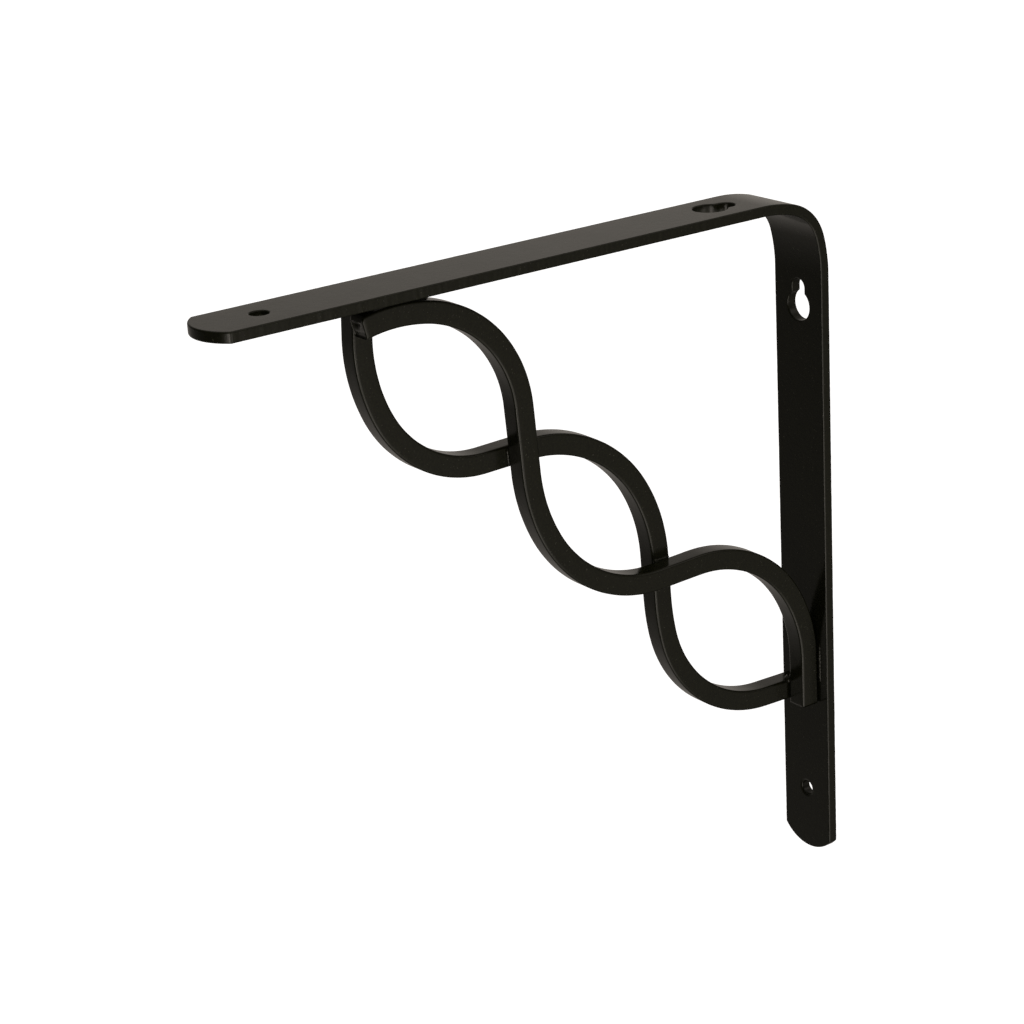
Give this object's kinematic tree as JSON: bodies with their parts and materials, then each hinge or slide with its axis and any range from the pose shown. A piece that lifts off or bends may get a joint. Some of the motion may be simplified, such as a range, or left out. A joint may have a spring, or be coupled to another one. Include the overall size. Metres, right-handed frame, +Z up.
{
  "type": "shelf bracket",
  "caption": "Right-angled wall bracket of bent steel strip with keyholes, braced in the corner by waved square bars that cross one another.",
  "frame": {"origin": "on the wall face of the upright, at half the bracket's height and in the middle of the strip's width", "axes": "+X out from the wall along the arm, +Z up, +Y across the strip towards the side where the front bar lies"},
  "size_m": [0.2, 0.0202, 0.21],
  "materials": {
    "black_powder_coat": "satin black powder coat, very slightly orange-peeled"
  },
  "bodies": {
    "root": {"bent_strip": "black_powder_coat", "front_scroll": "black_powder_coat", "back_scroll": "black_powder_coat"}
  },
  "joints": []
}
